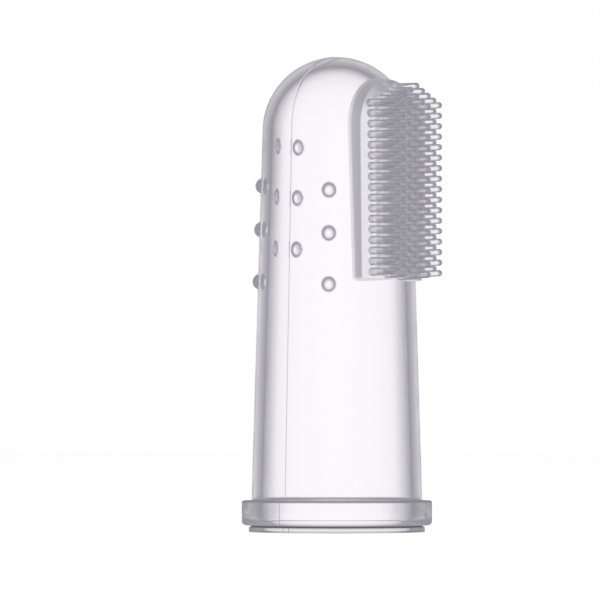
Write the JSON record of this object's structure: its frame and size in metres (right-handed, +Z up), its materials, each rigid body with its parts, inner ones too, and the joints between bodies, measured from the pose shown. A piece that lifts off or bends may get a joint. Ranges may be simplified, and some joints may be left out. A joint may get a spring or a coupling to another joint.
{
  "type": "pet toothbrush",
  "caption": "Clear silicone finger toothbrush for pets: a tapered thimble with a rolled mouth rim, an arched pad of soft bristles on one side and round massage nubs on the other.",
  "frame": {"origin": "centre of the footprint's bounding rectangle, on the plane that the mouth stands on; the sleeve's axis is 0.6 mm towards +Y from it", "axes": "+Z up along the sleeve to its closed domed end, bristles towards -Y, massage nubs towards +Y"},
  "size_m": [0.023, 0.0242, 0.0575],
  "materials": {
    "clear_silicone": "clear, glossy, faint lavender tint",
    "pad_silicone": "clear, glossy",
    "bristle_silicone": "clear, satin, looks grey where bristles overlap"
  },
  "bodies": {
    "sleeve_body": {"finger_sleeve": "clear_silicone", "mouth_rim": "clear_silicone", "mouth_lip": "clear_silicone", "brush_pad": "pad_silicone", "massage_nub_left_outer_bottom": "clear_silicone", "massage_nub_left_outer_middle": "clear_silicone", "massage_nub_left_outer_top": "clear_silicone", "massage_nub_left_inner_bottom": "clear_silicone", "massage_nub_left_inner_middle": "clear_silicone", "massage_nub_left_inner_top": "clear_silicone", "massage_nub_right_inner_bottom": "clear_silicone", "massage_nub_right_inner_middle": "clear_silicone", "massage_nub_right_inner_top": "clear_silicone", "massage_nub_right_outer_bottom": "clear_silicone", "massage_nub_right_outer_middle": "clear_silicone", "massage_nub_right_outer_top": "clear_silicone"},
    "bristles_1": {"bristle_column_1": "bristle_silicone"},
    "bristles_2": {"bristle_column_2": "bristle_silicone"},
    "bristles_3": {"bristle_column_3": "bristle_silicone"},
    "bristles_4": {"bristle_column_4": "bristle_silicone"},
    "bristles_5": {"bristle_column_5": "bristle_silicone"},
    "bristles_6": {"bristle_column_6": "bristle_silicone"},
    "bristles_7": {"bristle_column_7": "bristle_silicone"},
    "bristles_8": {"bristle_column_8": "bristle_silicone"},
    "bristles_9": {"bristle_column_9": "bristle_silicone"}
  },
  "joints": [
    {"name": "bristle_lean_1", "type": "hinge", "parent": "sleeve_body", "child": "bristles_1", "pos_m": [-0.00436, -0.00881, 0.0422], "axis": [0, 0, 1], "range_deg": [-25, 25]},
    {"name": "bristle_lean_2", "type": "hinge", "parent": "sleeve_body", "child": "bristles_2", "pos_m": [-0.00327, -0.00906, 0.0422], "axis": [0, 0, 1], "range_deg": [-25, 25]},
    {"name": "bristle_lean_3", "type": "hinge", "parent": "sleeve_body", "child": "bristles_3", "pos_m": [-0.00218, -0.00924, 0.0422], "axis": [0, 0, 1], "range_deg": [-25, 25]},
    {"name": "bristle_lean_4", "type": "hinge", "parent": "sleeve_body", "child": "bristles_4", "pos_m": [-0.00109, -0.00934, 0.0422], "axis": [0, 0, 1], "range_deg": [-25, 25]},
    {"name": "bristle_lean_5", "type": "hinge", "parent": "sleeve_body", "child": "bristles_5", "pos_m": [0, -0.00938, 0.0422], "axis": [0, 0, 1], "range_deg": [-25, 25], "stiffness_Nm_per_rad": 0.000004},
    {"name": "bristle_lean_6", "type": "hinge", "parent": "sleeve_body", "child": "bristles_6", "pos_m": [0.00109, -0.00934, 0.0422], "axis": [0, 0, 1], "range_deg": [-25, 25]},
    {"name": "bristle_lean_7", "type": "hinge", "parent": "sleeve_body", "child": "bristles_7", "pos_m": [0.00218, -0.00924, 0.0422], "axis": [0, 0, 1], "range_deg": [-25, 25]},
    {"name": "bristle_lean_8", "type": "hinge", "parent": "sleeve_body", "child": "bristles_8", "pos_m": [0.00327, -0.00906, 0.0422], "axis": [0, 0, 1], "range_deg": [-25, 25]},
    {"name": "bristle_lean_9", "type": "hinge", "parent": "sleeve_body", "child": "bristles_9", "pos_m": [0.00436, -0.00881, 0.0422], "axis": [0, 0, 1], "range_deg": [-25, 25]}
  ],
  "couplings": [
    {"joint": "bristle_lean_1", "follows": "bristle_lean_5", "ratio": 1},
    {"joint": "bristle_lean_2", "follows": "bristle_lean_5", "ratio": 1},
    {"joint": "bristle_lean_3", "follows": "bristle_lean_5", "ratio": 1},
    {"joint": "bristle_lean_4", "follows": "bristle_lean_5", "ratio": 1},
    {"joint": "bristle_lean_6", "follows": "bristle_lean_5", "ratio": 1},
    {"joint": "bristle_lean_7", "follows": "bristle_lean_5", "ratio": 1},
    {"joint": "bristle_lean_8", "follows": "bristle_lean_5", "ratio": 1},
    {"joint": "bristle_lean_9", "follows": "bristle_lean_5", "ratio": 1}
  ]
}
